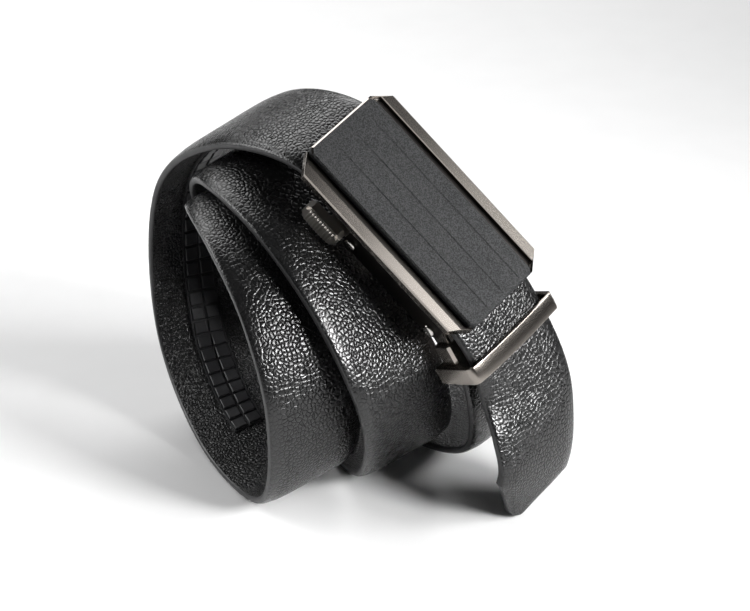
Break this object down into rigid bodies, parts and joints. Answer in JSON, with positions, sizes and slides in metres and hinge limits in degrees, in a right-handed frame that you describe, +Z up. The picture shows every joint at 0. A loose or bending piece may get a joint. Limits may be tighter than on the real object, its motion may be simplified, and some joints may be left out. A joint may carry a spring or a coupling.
{
  "type": "ratchet belt",
  "caption": "Leather belt with a ratchet buckle, fastened and coiled in leaning turns, its pointed free end hanging down to the surface it lies on.",
  "frame": {"origin": "on the surface the belt lies on, under the middle of its bounding box", "axes": "+Z up; +X along the coil towards the buckle and the free end; -Y towards the front, where the free end hangs"},
  "size_m": [0.115, 0.1386, 0.1303],
  "materials": {
    "leather": "pebbled, semi-gloss black",
    "track": "satin black",
    "plate": "matte, finely grained dark grey",
    "gunmetal": "polished gunmetal",
    "dark_metal": "dark satin",
    "pin_metal": "polished"
  },
  "bodies": {
    "belt": {"strap": "leather", "ratchet_track": "track", "face_plate": "plate", "buckle_frame": "gunmetal", "housing": "dark_metal", "lever_pin": "pin_metal", "clamp_pin": "pin_metal", "clamp": "dark_metal", "keeper": "gunmetal"},
    "lever": {"release_lever": "gunmetal"}
  },
  "joints": [
    {"name": "release_hinge", "type": "hinge", "parent": "belt", "child": "lever", "pos_m": [0.00405, -0.02198, 0.09759], "axis": [0.8121, 0.5105, 0.2827], "range_deg": [0, 8], "stiffness_Nm_per_rad": 0.3, "springref_deg": -5.73}
  ]
}
